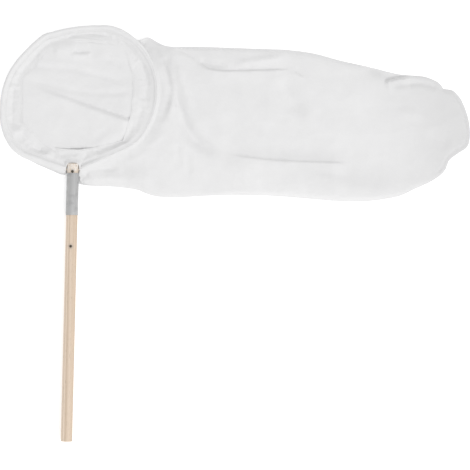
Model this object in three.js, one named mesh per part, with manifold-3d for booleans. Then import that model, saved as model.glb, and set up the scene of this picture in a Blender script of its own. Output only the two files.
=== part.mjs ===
// Insect net: a hardwood handle, a wire hoop held by a sliding metal ferrule, and a white cloth bag.
// Millimetres, +Z up. The net lies on a table with its handle along -Y and its bag laid out along +X.
// While the pieces are made, the origin is on the handle's axis at the ferrule's upper rim.
import * as THREE from "three";
import { mergeVertices } from "three/addons/utils/BufferGeometryUtils.js";
import Module from "manifold-3d";

// Clearance between pieces that touch
const FIT_GAP = 0.3;

// Handle: a hardwood dowel with a groove down each side of its upper end
const HANDLE_DIAMETER = 24;
const HANDLE_LENGTH = 588;
const HANDLE_CHAMFER = 1.6;
const HANDLE_ABOVE_FERRULE = 20;

// Ferrule: a thin metal tube that slides over the wire ends and locks them in the grooves
const FERRULE_LENGTH = 89;
const FERRULE_WALL = 0.6;
const FERRULE_CLEARANCE = 0.3;
const FERRULE_EDGE = 0.25;
const FERRULE_TRAVEL = 63;

// Stop pins: two round-headed nails that keep the ferrule on the handle
const PIN_HEAD_DIAMETER = 5.5;
const PIN_HEAD_HEIGHT = 1.7;
const PIN_SHANK_DIAMETER = 2.4;
const PIN_SHANK_LENGTH = 11;

// Hoop: one spring wire, a little out of round, with two straight legs, two arms and two bent tips
const WIRE_DIAMETER = 4;
const HOOP_DIAMETER = 320;
const HOOP_STRETCH = 20;
const HOOP_TILT = THREE.MathUtils.degToRad(34);
const HOOP_OFFSET = 9;
const HOOP_DIP = 3;
const SHOULDER_RADIUS = 70;
const RIGHT_LEG_SLOPE = THREE.MathUtils.degToRad(26);
const LEFT_LEG_SLOPE = THREE.MathUtils.degToRad(18);
const LEG_BEND_RADIUS = 7;
const LEG_BEND_RISE = 2;
const RIGHT_ARM_LENGTH = 45;
const LEFT_ARM_LENGTH = 58;
const TIP_BEND_RADIUS = 4;
const TIP_LENGTH = 2.5;
const WIRE_BELOW_SURFACE = 0.25;

// Rim: a cloth tunnel round the wire, with a hem that turns in towards the mouth
const CLOTH = 1;
const CASING_WALL = 1.6;
const CASING_SETBACK = 9;
const HEM_WIDTH = 38;
const HEM_THICKNESS = 2;
const HEM_DROP = 3.5;

// Bag: laid out flat beside the hoop, and folded over the hoop along a line past the rim
const BAG_WIDTH = 312;
const BAG_LENGTH = 635;
const BAG_LOFT = 23;
const BAG_END_FULLNESS = 4.3;
const BAG_CROWN_FULLNESS = 3;
const BAG_DROP = 41;
const BAG_SWAY = 11;
const FOLD_SETBACK = 25;
const FOLD_GAP = 0.6;
const TAKEOFF_ANGLE = THREE.MathUtils.degToRad(48);

// Facets
const ROUND_SIDES = 48;
const PIN_SIDES = 16;
const WIRE_HALF_SIDES = 5;
const CASING_HALF_SIDES = 5;
const ARC_STEP = THREE.MathUtils.degToRad(6);
const BEND_STEP = THREE.MathUtils.degToRad(22);
const LEG_STEPS = 4;

// Sizes that follow from the ones above
const handleRadius = HANDLE_DIAMETER / 2;
const ferruleBore = handleRadius + FERRULE_CLEARANCE;
const ferruleRadius = ferruleBore + FERRULE_WALL;
const handleTop = HANDLE_ABOVE_FERRULE;
const handleButt = handleTop - HANDLE_LENGTH;
const wireRadius = WIRE_DIAMETER / 2;
const hoopRadius = HOOP_DIAMETER / 2;
const armX = handleRadius - WIRE_BELOW_SURFACE - wireRadius;
const casingBore = wireRadius + FIT_GAP;
const casingRadius = casingBore + CASING_WALL;
const tableZ = -ferruleRadius;
const seamZ = tableZ + CLOTH + FIT_GAP;
const upperPinY = FIT_GAP + PIN_HEAD_DIAMETER / 2;
const lowerPinY = -FERRULE_LENGTH - FERRULE_TRAVEL - upperPinY;

const wasm = await Module();
wasm.setup();

const finish = {
  wood: new THREE.MeshStandardMaterial({ color: 0xdcc3a3, roughness: 0.65, metalness: 0 }),
  aluminium: new THREE.MeshStandardMaterial({ color: 0xb4b6b7, roughness: 0.38, metalness: 1 }),
  steel: new THREE.MeshStandardMaterial({ color: 0x8d8479, roughness: 0.45, metalness: 1 }),
  nail: new THREE.MeshStandardMaterial({ color: 0x4a4038, roughness: 0.55, metalness: 0.8 }),
  cloth: new THREE.MeshStandardMaterial({ color: 0xebebea, roughness: 0.95, metalness: 0 }),
};

const net = new THREE.Group();

function addPiece(name, geometry, material) {
  const piece = new THREE.Mesh(geometry, material.clone());
  piece.name = name;
  net.add(piece);
}

// A closed geometry as a solid that can be cut and joined
function toSolid(geometry) {
  const bare = geometry.clone();
  bare.deleteAttribute("normal");
  bare.deleteAttribute("uv");
  const merged = mergeVertices(bare, 1e-3);
  const corners = merged.index.array;
  const kept = [];
  for (let i = 0; i < corners.length; i += 3) {
    const [a, b, c] = corners.slice(i, i + 3);
    if (a !== b && b !== c && c !== a) kept.push(a, b, c);
  }
  const mesh = new wasm.Mesh({
    numProp: 3,
    vertProperties: new Float32Array(merged.attributes.position.array),
    triVerts: new Uint32Array(kept),
  });
  return new wasm.Manifold(mesh);
}

function fromSolid(solid) {
  const mesh = solid.getMesh();
  const geometry = new THREE.BufferGeometry();
  geometry.setAttribute("position", new THREE.BufferAttribute(mesh.vertProperties, 3));
  geometry.setIndex(new THREE.BufferAttribute(mesh.triVerts, 1));
  geometry.computeVertexNormals();
  return geometry;
}

function boxBetween(low, high) {
  const size = new THREE.Vector3().subVectors(high, low);
  const middle = new THREE.Vector3().addVectors(low, high).multiplyScalar(0.5);
  const box = new THREE.BoxGeometry(size.x, size.y, size.z);
  return toSolid(box.translate(middle.x, middle.y, middle.z));
}

// A path through given points, which a section is swept along one point at a time
class PointPath extends THREE.Curve {
  constructor(points) {
    super();
    this.points = points.map((p) => new THREE.Vector3(p.x, p.y, 0));
  }
  getUtoTmapping(u) {
    return u;
  }
  getPoint(t, target = new THREE.Vector3()) {
    const place = t * (this.points.length - 1);
    const i = Math.min(Math.floor(place + 1e-9), this.points.length - 2);
    return target.lerpVectors(this.points[i], this.points[i + 1], place - i);
  }
  getTangent(t, target = new THREE.Vector3()) {
    const last = this.points.length - 1;
    const i = Math.round(t * last);
    const here = this.points[i];
    const into = i > 0 ? here.clone().sub(this.points[i - 1]).normalize() : new THREE.Vector3();
    const out = i < last ? this.points[i + 1].clone().sub(here).normalize() : new THREE.Vector3();
    return target.addVectors(into, out).normalize();
  }
}

function sweep(section, points, curveSegments) {
  const extrudePath = new PointPath(points);
  return new THREE.ExtrudeGeometry(section, { extrudePath, steps: points.length - 1, curveSegments });
}

// Points on an arc, with both ends, at steps no wider than the one given
function arcPoints(centre, radius, from, to, step) {
  const count = Math.max(1, Math.ceil(Math.abs(to - from) / step));
  return Array.from({ length: count + 1 }, (_, i) => {
    const angle = from + ((to - from) * i) / count;
    return new THREE.Vector2(centre.x + radius * Math.cos(angle), centre.y + radius * Math.sin(angle));
  });
}

// The flat line of points shifted to its left by a distance
function shifted(points, distance) {
  const path = new PointPath(points);
  return points.map((p, i) => {
    const along = path.getTangent(i / (points.length - 1));
    return new THREE.Vector2(p.x - along.y * distance, p.y + along.x * distance);
  });
}

// A number of points evenly spaced along a line of points
function spaced(points, count) {
  const line = new THREE.CurvePath();
  points.slice(1).forEach((p, i) => line.add(new THREE.LineCurve(points[i], p)));
  return line.getSpacedPoints(count);
}

// The sprung hoop is a circle drawn out along a tilted axis, which keeps its straight legs straight
const hoopCentre = new THREE.Vector2(HOOP_OFFSET, hoopRadius - HOOP_DIP);
const hoopAxis = new THREE.Vector2(Math.cos(HOOP_TILT), Math.sin(HOOP_TILT));
const hoopCross = new THREE.Vector2(-hoopAxis.y, hoopAxis.x);
const longShare = 1 + HOOP_STRETCH / HOOP_DIAMETER;
const shortShare = 1 - HOOP_STRETCH / HOOP_DIAMETER;

function scaledOnAxis(v, along, across) {
  const main = hoopAxis.clone().multiplyScalar(along * v.dot(hoopAxis));
  return main.addScaledVector(hoopCross, across * v.dot(hoopCross));
}

const toCircle = (v) => scaledOnAxis(v, 1 / longShare, 1 / shortShare);
const toHoop = (v) => scaledOnAxis(v, longShare, shortShare).add(hoopCentre);

// One side of the wire up to the rim: the bent tip, the arm, the bend and the straight leg's first point
function wireSide(side, slope, armLength) {
  const facing = (p) => new THREE.Vector2(side * p.x, p.y);
  const bendCentre = new THREE.Vector2(armX + LEG_BEND_RADIUS, LEG_BEND_RISE);
  const tipCentre = new THREE.Vector2(armX - TIP_BEND_RADIUS, TIP_BEND_RADIUS - armLength);
  const arm = [
    new THREE.Vector2(tipCentre.x - TIP_LENGTH, -armLength),
    ...arcPoints(tipCentre, TIP_BEND_RADIUS, -Math.PI / 2, 0, BEND_STEP),
    ...arcPoints(bendCentre, LEG_BEND_RADIUS, Math.PI, Math.PI / 2 + slope, BEND_STEP),
  ].map(facing);
  const legStart = arm[arm.length - 1];
  const legDirection = facing(new THREE.Vector2(Math.cos(slope), Math.sin(slope)));
  const casingStart = legStart.clone().addScaledVector(legDirection, CASING_SETBACK);
  return { side, arm, legStart, legDirection, casingStart };
}

// The rounded shoulder from a leg to the hoop, worked out on the circle and drawn out with it
function shoulder({ side, legStart, legDirection }) {
  const start = toCircle(legStart.clone().sub(hoopCentre));
  const direction = toCircle(legDirection).normalize();
  const inward = new THREE.Vector2(-side * direction.y, side * direction.x);
  const offset = start.addScaledVector(inward, SHOULDER_RADIUS);
  const along = offset.dot(direction);
  const reach = (hoopRadius - SHOULDER_RADIUS) ** 2 - offset.lengthSq() + along ** 2;
  const middle = offset.addScaledVector(direction, Math.sqrt(reach) - along);
  const from = inward.angle() + Math.PI;
  const turn = inward.angleTo(middle.clone().negate()) * side;
  const points = arcPoints(middle, SHOULDER_RADIUS, from, from + turn, ARC_STEP).map(toHoop);
  return { points, angle: middle.angle() };
}

const rightSide = wireSide(1, RIGHT_LEG_SLOPE, RIGHT_ARM_LENGTH);
const leftSide = wireSide(-1, LEFT_LEG_SLOPE, LEFT_ARM_LENGTH);
const rightShoulder = shoulder(rightSide);
const leftShoulder = shoulder(leftSide);
const middleOfCircle = new THREE.Vector2(0, 0);
const hoopArc = (from, to) => arcPoints(middleOfCircle, hoopRadius, from, to, ARC_STEP).map(toHoop);
const frontArc = hoopArc(rightShoulder.angle - 2 * Math.PI, TAKEOFF_ANGLE);
const backArc = hoopArc(TAKEOFF_ANGLE, leftShoulder.angle);

// The hoop from the handle up to the bag's take-off point, and from there round to the handle again
const frontLine = [
  ...spaced([rightSide.casingStart, rightShoulder.points[0]], LEG_STEPS),
  ...rightShoulder.points.slice(1),
  ...frontArc.slice(1),
];
const backLine = [...backArc, ...leftShoulder.points.toReversed().slice(1), leftSide.casingStart];
const casingLine = [...frontLine, ...backLine.slice(1)];

function makeHandle() {
  const profile = [
    new THREE.Vector2(0, handleButt),
    new THREE.Vector2(handleRadius - HANDLE_CHAMFER, handleButt),
    new THREE.Vector2(handleRadius, handleButt + HANDLE_CHAMFER),
    new THREE.Vector2(handleRadius, handleTop - HANDLE_CHAMFER),
    new THREE.Vector2(handleRadius - HANDLE_CHAMFER, handleTop),
    new THREE.Vector2(0, handleTop),
  ];
  let dowel = toSolid(new THREE.LatheGeometry(profile, ROUND_SIDES));
  const grooveHalf = wireRadius + FIT_GAP;
  for (const [side, armLength] of [[1, RIGHT_ARM_LENGTH], [-1, LEFT_ARM_LENGTH]]) {
    const grooveEnd = -armLength - grooveHalf;
    const mouth = handleRadius + FIT_GAP;
    const cuts = [
      { floor: armX - grooveHalf, top: handleTop + FIT_GAP },
      { floor: armX - TIP_BEND_RADIUS - TIP_LENGTH - FIT_GAP, top: TIP_BEND_RADIUS - armLength + FIT_GAP },
    ];
    for (const { floor, top } of cuts) {
      const low = new THREE.Vector3(Math.min(side * floor, side * mouth), grooveEnd, -grooveHalf);
      const high = new THREE.Vector3(Math.max(side * floor, side * mouth), top, grooveHalf);
      dowel = dowel.subtract(boxBetween(low, high));
    }
  }
  for (const y of [upperPinY, lowerPinY]) {
    const depth = PIN_SHANK_LENGTH + FIT_GAP;
    const hole = new THREE.CylinderGeometry(
      PIN_SHANK_DIAMETER / 2 + FIT_GAP, PIN_SHANK_DIAMETER / 2 + FIT_GAP, 2 * depth, PIN_SIDES,
    );
    dowel = dowel.subtract(toSolid(hole.rotateX(Math.PI / 2).translate(0, y, handleRadius)));
  }
  addPiece("handle", fromSolid(dowel), finish.wood);
}

function makeFerrule() {
  const profile = [
    new THREE.Vector2(ferruleBore, -FERRULE_LENGTH),
    new THREE.Vector2(ferruleRadius - FERRULE_EDGE, -FERRULE_LENGTH),
    new THREE.Vector2(ferruleRadius, -FERRULE_LENGTH + FERRULE_EDGE),
    new THREE.Vector2(ferruleRadius, -FERRULE_EDGE),
    new THREE.Vector2(ferruleRadius - FERRULE_EDGE, 0),
    new THREE.Vector2(ferruleBore, 0),
    new THREE.Vector2(ferruleBore, -FERRULE_LENGTH),
  ];
  addPiece("ferrule", new THREE.LatheGeometry(profile, ROUND_SIDES), finish.aluminium);
}

// A nail driven into the top of the handle, with its domed head standing proud of the wood
function makePin(name, y) {
  const shank = PIN_SHANK_DIAMETER / 2;
  const head = PIN_HEAD_DIAMETER / 2;
  const dome = arcPoints(new THREE.Vector2(0, 0), 1, 0, Math.PI / 2, BEND_STEP);
  const profile = [
    new THREE.Vector2(0, -PIN_SHANK_LENGTH),
    new THREE.Vector2(shank, shank - PIN_SHANK_LENGTH),
    new THREE.Vector2(shank, FIT_GAP),
    ...dome.map((p) => new THREE.Vector2(head * p.x, FIT_GAP + PIN_HEAD_HEIGHT * p.y)),
  ];
  const nail = new THREE.LatheGeometry(profile, PIN_SIDES).rotateX(Math.PI / 2);
  addPiece(name, nail.translate(0, y, handleRadius), finish.nail);
}

function makeHoopWire() {
  const section = new THREE.Shape().absarc(0, 0, wireRadius, 0, 2 * Math.PI);
  const line = [...rightSide.arm, ...casingLine.slice(1, -1), ...leftSide.arm.toReversed()];
  addPiece("hoop_wire", sweep(section, line, WIRE_HALF_SIDES), finish.steel);
}

// The rim's section: a round tunnel with a flat hem on its inner side. Its first axis points down.
function casingSection() {
  const hemAngle = Math.asin(HEM_THICKNESS / 2 / casingRadius);
  const section = new THREE.Shape();
  section.absarc(0, 0, casingRadius, Math.PI / 2 + hemAngle, Math.PI / 2 - hemAngle + 2 * Math.PI);
  section.lineTo(HEM_DROP + HEM_THICKNESS / 2, HEM_WIDTH);
  section.lineTo(HEM_DROP - HEM_THICKNESS / 2, HEM_WIDTH);
  section.closePath();
  section.holes.push(new THREE.Path().absarc(0, 0, casingBore, 0, 2 * Math.PI));
  return section;
}

// The room that the handle's end and its pins take up in the rim and the bag
function handleRoom() {
  const half = ferruleRadius + FIT_GAP;
  const low = new THREE.Vector3(-half, handleButt, -2 * ferruleRadius);
  return boxBetween(low, new THREE.Vector3(half, handleTop + FIT_GAP, 2 * ferruleRadius));
}

function makeRimCasing() {
  const casing = toSolid(sweep(casingSection(), casingLine, CASING_HALF_SIDES));
  addPiece("rim_casing", fromSolid(casing.subtract(handleRoom())), finish.cloth);
}

// A sheet of cloth from a function that gives its under side at shares of its length and width
function clothSheet(placeAt, alongSteps, acrossSteps) {
  const positions = [];
  const rows = acrossSteps + 1;
  for (const lift of [0, CLOTH]) {
    for (let i = 0; i <= alongSteps; i++) {
      for (let j = 0; j <= acrossSteps; j++) {
        const p = placeAt(i / alongSteps, j / acrossSteps);
        positions.push(p.x, p.y, p.z + lift);
      }
    }
  }
  const upper = (alongSteps + 1) * rows;
  const index = [];
  const quad = (a, b, c, d) => index.push(a, b, c, a, c, d);
  for (let i = 0; i < alongSteps; i++) {
    for (let j = 0; j < acrossSteps; j++) {
      const a = i * rows + j;
      quad(a, a + 1, a + rows + 1, a + rows);
      quad(upper + a, upper + a + rows, upper + a + rows + 1, upper + a + 1);
    }
    const near = i * rows;
    const far = near + acrossSteps;
    quad(near, near + rows, upper + near + rows, upper + near);
    quad(far, upper + far, upper + far + rows, far + rows);
  }
  for (let j = 0; j < acrossSteps; j++) {
    const end = alongSteps * rows + j;
    quad(j, upper + j, upper + j + 1, j + 1);
    quad(end, end + 1, upper + end + 1, upper + end);
  }
  const geometry = new THREE.BufferGeometry();
  geometry.setAttribute("position", new THREE.BufferAttribute(new Float32Array(positions), 3));
  geometry.setIndex(index);
  return fromSolid(toSolid(geometry));
}

// The bag's plan past the fold line, and its crown
const rimReach = Math.max(...frontLine.map((p) => p.x)) + casingRadius;
const foldX = rimReach + FOLD_SETBACK;
const fullness = (share) => Math.sqrt(Math.max(0, 1 - share ** BAG_END_FULLNESS));
const crown = (across) => 1 - Math.abs(2 * across - 1) ** BAG_CROWN_FULLNESS;
const bagY = (share, across) =>
  hoopCentre.y - BAG_DROP - BAG_SWAY * share + BAG_WIDTH * fullness(share) * (across - 0.5);
const foldFrom = new THREE.Vector2(foldX - FOLD_GAP / 2, bagY(0, 0));
const foldTo = new THREE.Vector2(foldX - FOLD_GAP / 2, bagY(0, 1));

// The front of the bag from the rim's outer side to the fold line
function makeBagMouthFront() {
  const alongSteps = 5;
  const rim = shifted(frontLine, -casingRadius - FIT_GAP);
  const acrossSteps = rim.length - 1;
  const lengths = rim.map((p, i) => (i ? p.distanceTo(rim[i - 1]) : 0));
  const reached = lengths.map((_, i) => lengths.slice(0, i + 1).reduce((sum, step) => sum + step));
  const placeAt = (along, across) => {
    const i = Math.round(across * acrossSteps);
    const share = reached[i] / reached[acrossSteps];
    const x = THREE.MathUtils.lerp(rim[i].x, foldFrom.x, along);
    const y = THREE.MathUtils.lerp(rim[i].y, bagY(0, share), along);
    return new THREE.Vector3(x, y, THREE.MathUtils.lerp(-CLOTH / 2, seamZ + BAG_LOFT * crown(share), along));
  };
  addPiece("bag_mouth_front", clothSheet(placeAt, alongSteps, acrossSteps), finish.cloth);
}

// The back of the bag under the hoop: a flat sheet with a curtain up to the rim
function makeBagMouthBack() {
  const edge = shifted(backLine, -casingRadius);
  const inner = shifted(backLine, CLOTH - casingRadius);
  const start = shifted(frontLine, -casingRadius - FIT_GAP)[0];
  const plan = new THREE.Shape([foldFrom, foldTo, ...edge, start]);
  const sheet = new THREE.ExtrudeGeometry(plan, { depth: CLOTH, bevelEnabled: false });
  const strip = new THREE.Shape([...edge, ...inner.reverse()]);
  const curtainHeight = -casingRadius - FIT_GAP - tableZ;
  const curtain = new THREE.ExtrudeGeometry(strip, { depth: curtainHeight, bevelEnabled: false });
  const joined = toSolid(sheet.translate(0, 0, tableZ)).add(toSolid(curtain.translate(0, 0, tableZ)));
  addPiece("bag_mouth_back", fromSolid(joined.subtract(handleRoom())), finish.cloth);
}

function makeBagTail() {
  const alongSteps = 14;
  const acrossSteps = 12;
  const share = (along) => Math.sin((along * Math.PI) / 2);
  const x = (along) => foldX + FOLD_GAP / 2 + BAG_LENGTH * share(along);
  const back = (along, across) => new THREE.Vector3(x(along), bagY(share(along), across), tableZ);
  const front = (along, across) => {
    const rise = BAG_LOFT * crown(across) * fullness(share(along));
    return new THREE.Vector3(x(along), bagY(share(along), across), seamZ + rise);
  };
  addPiece("bag_tail_back", clothSheet(back, alongSteps, 1), finish.cloth);
  addPiece("bag_tail_front", clothSheet(front, alongSteps, acrossSteps), finish.cloth);
}

makeHandle();
makeFerrule();
makePin("upper_stop_pin", upperPinY);
makePin("lower_stop_pin", lowerPinY);
makeHoopWire();
makeRimCasing();
makeBagMouthFront();
makeBagMouthBack();
makeBagTail();

// The finished net stands on the table, with its origin under the middle of its outline
const outline = new THREE.Box3().setFromObject(net);
const middle = outline.getCenter(new THREE.Vector3());
for (const piece of net.children) piece.position.set(-middle.x, -middle.y, -outline.min.z);

export default net;
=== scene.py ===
"""A hand insect net, laid flat: wooden handle, sliding ferrule, wire hoop and a white cloth bag.

Plan sizes are in millimetres from the handle's axis at the ferrule's upper rim, with x to the right along
the laid-out bag and y up the handle. Heights are in millimetres above the table.
"""
import math

import bmesh
import bpy
import numpy as np
from mathutils import Matrix, Vector, noise
from mathutils.geometry import delaunay_2d_cdt


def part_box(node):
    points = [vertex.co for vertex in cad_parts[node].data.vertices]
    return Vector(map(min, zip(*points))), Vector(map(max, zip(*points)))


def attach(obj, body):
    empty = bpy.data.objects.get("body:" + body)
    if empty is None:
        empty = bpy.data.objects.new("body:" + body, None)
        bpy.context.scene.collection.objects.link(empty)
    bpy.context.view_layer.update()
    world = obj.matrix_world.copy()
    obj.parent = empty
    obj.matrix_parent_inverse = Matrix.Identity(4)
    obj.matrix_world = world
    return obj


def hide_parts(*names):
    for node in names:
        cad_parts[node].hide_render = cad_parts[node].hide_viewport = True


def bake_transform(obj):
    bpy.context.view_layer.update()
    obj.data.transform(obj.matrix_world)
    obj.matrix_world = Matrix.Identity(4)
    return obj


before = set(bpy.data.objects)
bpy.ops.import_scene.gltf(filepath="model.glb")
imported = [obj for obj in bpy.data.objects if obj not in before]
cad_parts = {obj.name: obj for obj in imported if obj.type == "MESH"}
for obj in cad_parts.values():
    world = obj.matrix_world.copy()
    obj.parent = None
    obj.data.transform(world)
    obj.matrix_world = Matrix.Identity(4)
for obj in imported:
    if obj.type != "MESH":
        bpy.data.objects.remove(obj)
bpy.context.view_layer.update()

bl_info = {
    "name": "Insect Net",
    "version": (1, 0, 0),
    "blender": (4, 5, 0),
    "location": "View3D > Sidebar > Insect Net",
    "description": "Builds a hand insect net with a wooden handle, a wire hoop and a white cloth bag",
    "category": "Add Mesh",
}

MM = 0.001

HANDLE_LOW, HANDLE_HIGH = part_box("handle")
FERRULE_LOW, FERRULE_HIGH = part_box("ferrule")
AXIS = Vector(((HANDLE_LOW.x + HANDLE_HIGH.x) / 2, FERRULE_HIGH.y, (FERRULE_LOW.z + FERRULE_HIGH.z) / 2))
HANDLE_END = (HANDLE_HIGH.y - AXIS.y) / MM
WIRE_HEIGHT = AXIS.z / MM

# The hoop: a circle drawn out along a tilted axis, with a rounded shoulder to each straight leg
HOOP_RADIUS = 160
HOOP_STRETCH = 10 / 160
HOOP_TILT = math.radians(34)
HOOP_CENTRE = np.array([9.0, 157.0])
SHOULDER_RADIUS = 70
LEG_SLOPES = {1: math.radians(26), -1: math.radians(18)}
LEG_BEND_RADIUS = 7
LEG_BEND_RISE = 2
ARM_X = (HANDLE_HIGH.x - HANDLE_LOW.x) / 2 / MM - 2.25
ARM_LENGTHS = {1: 45, -1: 58}
TIP_BEND_RADIUS = 4
TIP_LENGTH = 2.5
CASING_SETBACKS = {1: 3, -1: 5}
TAKEOFF_ANGLE = math.radians(48)

# The small metal parts, in millimetres, and the two pins' nodes
GROOVE_CLEARANCE = 0.3
FERRULE_RIM_ROUNDING = 0.22
PIN_STANDOFF = 0.3
PIN_SHANK_RADIUS = 1.2
PINS = ("upper_stop_pin", "lower_stop_pin")

# The stage: the floor, where the lamp hangs and aims, and the middle, level and turn of the picture
FLOOR_SIZE = 16
FLOOR_DROP = 0.0003
FLOOR_GLOW = 0.32
LAMP_OFFSET = Vector((4.6, -4.4, 7.8))
LAMP_AIM = (300, 60, 0)
LAMP_SIZE = 4
VIEW_MIDDLE = (346.2, -123, 10)
VIEW_TURN = 0.024
FILM_WIDTH = 36

# The bag's outline as it lies: its upper edge, far end and lower edge, back to the ferrule
BAG_OUTLINE = [
    (133, 283.5), (141, 286.3), (151, 286), (164, 280), (177, 275.2), (190, 272.6), (210, 272.6),
    (241, 273.6), (294, 273.6), (340, 273.2), (369, 272.8), (420, 272.4), (453, 271.5), (506, 265.3),
    (560, 252), (611, 242), (640, 236), (661, 231), (682, 226.6), (698, 224.6), (717, 223.8), (732, 223),
    (747, 220.3), (768, 211.6), (777, 203), (780, 198), (800, 194.5), (811, 185), (819.5, 174),
    (829.5, 152), (837, 126), (839.5, 97), (833.5, 75), (814.5, 61), (797, 46.5), (789, 27),
    (777.5, 13.5), (755.5, -1.5), (725, -16), (694, -31.3), (660, -39.3), (624, -44.5), (567, -46),
    (482, -41.3), (418, -38), (355, -38.2), (289, -41), (228, -46), (186, -46), (160, -41), (136, -32.2),
    (100, -28), (64, -26), (37, -24.3), (19, -20.5),
]
BESIDE_FERRULE = [(13.5, -12), (13.5, 2)]
END_SEAM = [
    (768, 203), (782, 193.5), (798, 187.5), (812.5, 171), (823.5, 151), (830.5, 125), (833, 98),
    (827.5, 79), (809, 67), (791, 50.5), (783, 32), (771, 17.5),
]

# The band of doubled cloth inside the rim: its inner edge, as degrees and distances from the hoop's middle
HEM_EDGE = [
    (-42, 128), (-22, 117), (4, 115), (26, 126), (49, 143), (66, 130), (90, 122), (118, 132), (141, 116),
    (163, 127), (203, 131), (238, 120), (253, 112), (271, 107), (290, 109),
]

# What changes round the hoop, by degrees about its middle: how far the rim's cloth lies outside the wire's
# even line, how high its seam lies beside the wire, over what width the hem falls from there to the bag's
# back, how far its inner edge stands over the back, and the height of the valley between rim and bag
RIM_SLACK = [
    (-60, 0), (30, 0), (48, 2.5), (60, 3.4), (67, 2.0), (76, -3.6), (86, -6.2), (96, -6.4), (106, -4.6),
    (113, -2.6), (120, 1.6), (127, -1.2), (140, -3.4), (160, -2.0), (175, -2.4), (186, -2.6), (194, -0.8),
    (200, 0.8), (210, 3.2), (220, 3.4), (226, 3.8), (232, 4.8), (239, 8.0), (245, 8.8), (249, 9.4),
    (257, 11.5), (263, 9.0), (275, 0),
]
SEAM_RISE = [
    (-60, 3.0), (-20, 3.0), (-6, 1.5), (8, -0.8), (40, -1.2), (58, -3.0), (70, -7.0), (92, -8.5),
    (112, -7.0), (125, -4.5), (150, -3.5), (180, -3.0), (192, -2.5), (205, -1.0), (244, -1.0),
    (254, -1.0), (264, -2.5), (282, -2.5), (292, 1.5), (300, 3.0),
]
HEM_FALL = [
    (-60, 40), (-15, 40), (-4, 30), (8, 16), (40, 13), (60, 10), (90, 8), (115, 10), (140, 14), (190, 16),
    (205, 28), (244, 28), (254, 32), (262, 42), (280, 42), (289, 38), (300, 40),
]
HEM_GAP = [
    (-60, 0), (-35, 0), (-8, 0.4), (20, 0), (130, 0), (155, 0.9), (200, 1.0), (215, 0), (244, 0.2),
    (256, 0.6), (262, 0.9), (279, 0.9), (289, 0.4), (300, 0),
]
RIM_VALLEY = [
    (-70, 14.4), (-45, 13.5), (-20, 10.5), (5, 8.4), (16, 9.4), (26, 8.2), (37, 4.2), (47, 1.4),
    (62, 1.2), (250, 12), (285, 12), (300, 14.4),
]

# Where the bag's edge turns over more gently: place, added width of the turn, and reach
GENTLE_EDGES = [((160, 277), 13, 40), ((648, 231), 9, 34), ((455, 270), 5, 36)]

# Crisp folds of the front: line, height and width to its left, height and width to its right, half the
# width of the step between them, and fades at the fold's ends
FRONT_FOLDS = [
    ([(262, 243), (277, 229), (300, 224), (323, 223.5), (401, 227), (464, 231)],
     -2.4, 11, 1.9, 20, 1.8, 0.12, 0.20),
    ([(318, 52), (350, 44), (409, 37.8), (463, 35.5), (563, 34.5), (590, 34)],
     7.0, 20, 10.0, 66, 1.9, 0.20, 0.16),
    ([(652, 207.5), (666, 211.5), (680, 215.5), (696, 218.5), (708, 220)],
     -7.0, 14, 5.4, 20, 3.4, 0.2, 0.12),
    ([(459, 231), (472, 220), (490, 213)], -1.8, 7, 1.8, 9, 2.0, 0.35, 0.45),
]

# Soft folds of the front: line, rise, width, and fades at the fold's ends
FRONT_SOFT_FOLDS = [
    ([(205, 269), (244, 255), (275, 231)], -3.8, 5, 0.2, 0.2),
    ([(330, 238), (385, 246), (450, 258)], 5.0, 8, 0.3, 0.3),
    ([(262, 246), (290, 237), (325, 233)], -5.0, 7, 0.2, 0.4),
    ([(188, 262), (195, 221), (207, 183), (222, 147), (238, 112)], -6.0, 9, 0.15, 0.25),
    ([(219, 150), (230, 118), (248, 86), (282, 60), (325, 48)], -12.5, 14, 0.3, 0.5),
    ([(168, 262), (185, 236), (195, 204), (200, 178), (195, 149), (181, 119), (166, 94)],
     -2.8, 7, 0.15, 0.3),
    ([(176, 264), (193, 234), (206, 196), (210, 170), (205, 140), (190, 108)], 3.0, 6, 0.2, 0.3),
    ([(214, 236), (226, 200), (240, 165), (254, 132)], 3.5, 8, 0.2, 0.3),
    ([(430, 214), (446, 184), (466, 156), (496, 126)], -6.0, 16, 0.3, 0.4),
    ([(218, 70), (223, 46), (226, 12)], -1.6, 7, 0.3, 0.4),
    ([(240, 56), (243, 26), (250, -14)], -1.8, 8, 0.3, 0.4),
    ([(400, -14), (480, -17), (560, -21), (620, -23), (680, -17), (716, 0)], 6.6, 26, 0.2, 0.2),
    ([(134, 285), (152, 270), (166, 252), (175, 234), (182, 212), (186, 188)], -4.0, 17, 0.08, 0.4),
    ([(13, -12), (20, -3), (32, 4)], -7.0, 7, 0.1, 0.3),
    ([(485, 28), (533, 15), (595, 3)], -2.6, 9, 0.3, 0.4),
    ([(666, 203), (688, 203), (706, 206), (722, 208), (738, 208), (760, 201), (774, 193)],
     -4.6, 7, 0.2, 0.2),
    ([(672, 150), (706, 142), (746, 137)], 3.0, 12, 0.4, 0.4),
    ([(15, -5), (30, 5), (45, 11), (70, 12), (104, 9)], -7.5, 6, 0.06, 0.4),
    ([(26, -12), (60, -9), (100, -10), (130, -18)], 4.0, 8, 0.2, 0.4),
    ([(100, 4), (140, -6), (186, -12)], 3.0, 18, 0.4, 0.4),
    ([(742, 96), (770, 88), (800, 74)], -2.8, 14, 0.4, 0.3),
    ([(520, 180), (580, 176), (640, 160)], 2.4, 26, 0.4, 0.4),
    ([(300, 150), (380, 132), (470, 118)], 2.0, 30, 0.4, 0.4),
    ([(606, 238), (636, 231), (662, 224), (680, 221)], -3.0, 10, 0.3, 0.2),
    (END_SEAM, -2.0, 2.2, 0.05, 0.05),
]

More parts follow.
